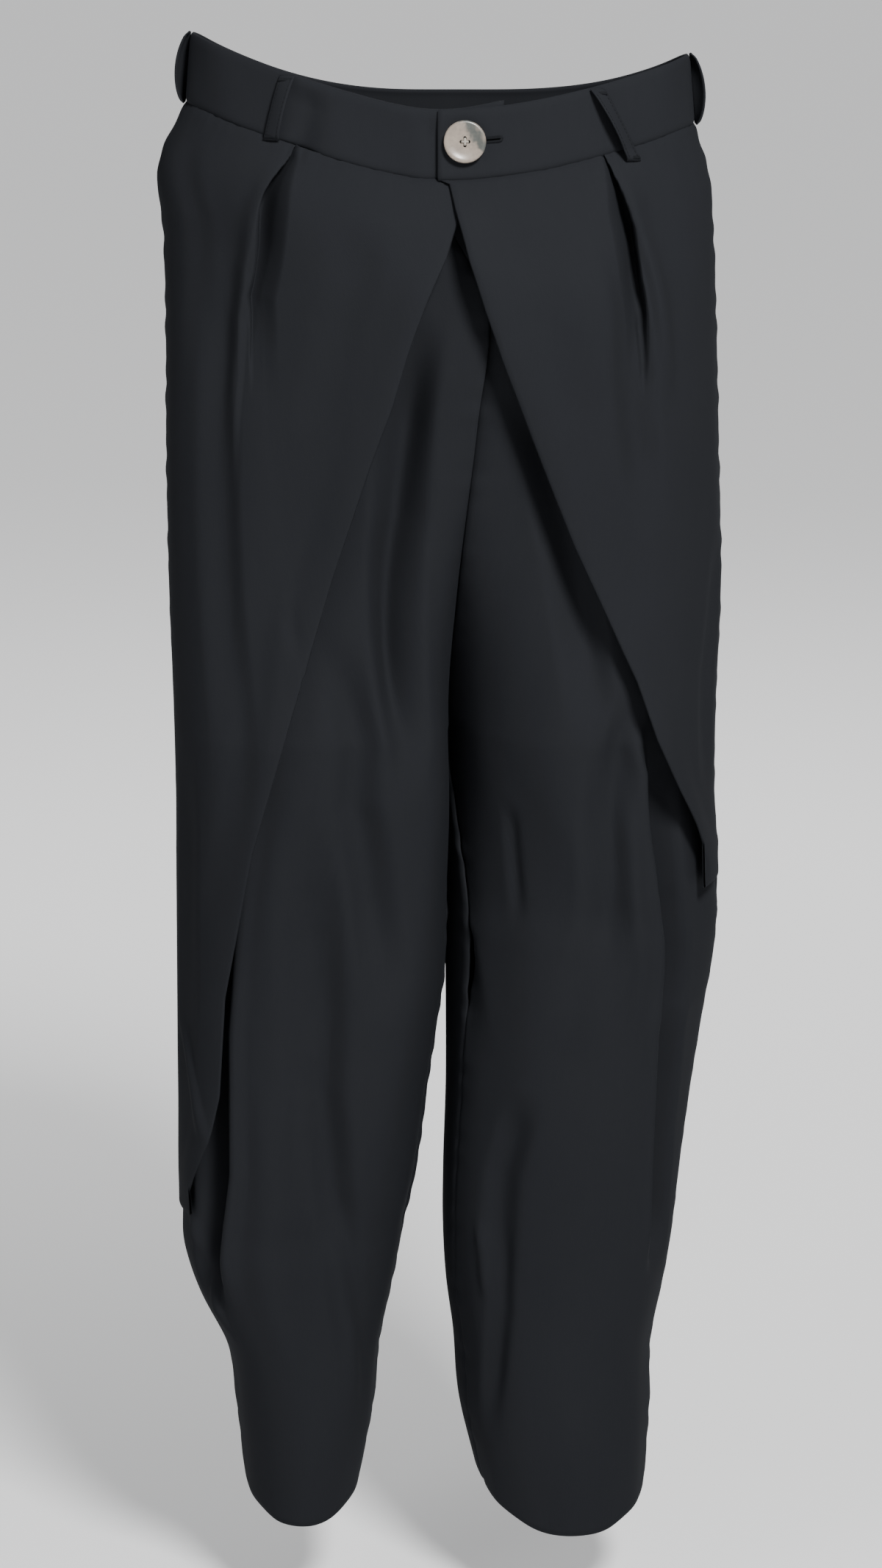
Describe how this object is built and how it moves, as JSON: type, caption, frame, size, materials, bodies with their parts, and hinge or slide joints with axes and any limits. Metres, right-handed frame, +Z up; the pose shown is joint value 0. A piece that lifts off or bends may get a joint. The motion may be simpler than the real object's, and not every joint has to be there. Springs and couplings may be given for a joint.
{
  "type": "pleated balloon trousers",
  "caption": "Long filled-out trousers with overlapping front wraps, waist pleats, a belt-looped band with a button, and rounded legs that taper to open hems.",
  "frame": {"origin": "middle of the waist opening, at the height of the waistband, where the wearer's waist holds the garment", "axes": "+Z up along the body, -Y the front, +X the wearer's left"},
  "size_m": [0.3752, 0.2203, 1.0236],
  "materials": {
    "crepe": "very dark blue-charcoal crepe, matt with a soft sheen on the folds",
    "band_crepe": "the same crepe, fused and pressed flat",
    "horn_resin": "polished horn-effect resin in greige and grey-green bands",
    "button_thread": "pale twisted sewing thread"
  },
  "bodies": {
    "root": {"waistband_front_left": "band_crepe", "waistband_front_right": "band_crepe", "waistband_back": "band_crepe", "wrap_front_left": "crepe", "wrap_front_right": "crepe", "leg_front_left": "crepe", "leg_front_right": "crepe", "leg_back_left": "crepe", "leg_back_right": "crepe", "belt_loop_front_left": "band_crepe", "belt_loop_front_right": "band_crepe", "belt_loop_side_left": "band_crepe", "belt_loop_side_right": "band_crepe", "belt_loop_centre_back": "band_crepe", "button": "horn_resin", "button_shank": "button_thread"}
  },
  "joints": []
}
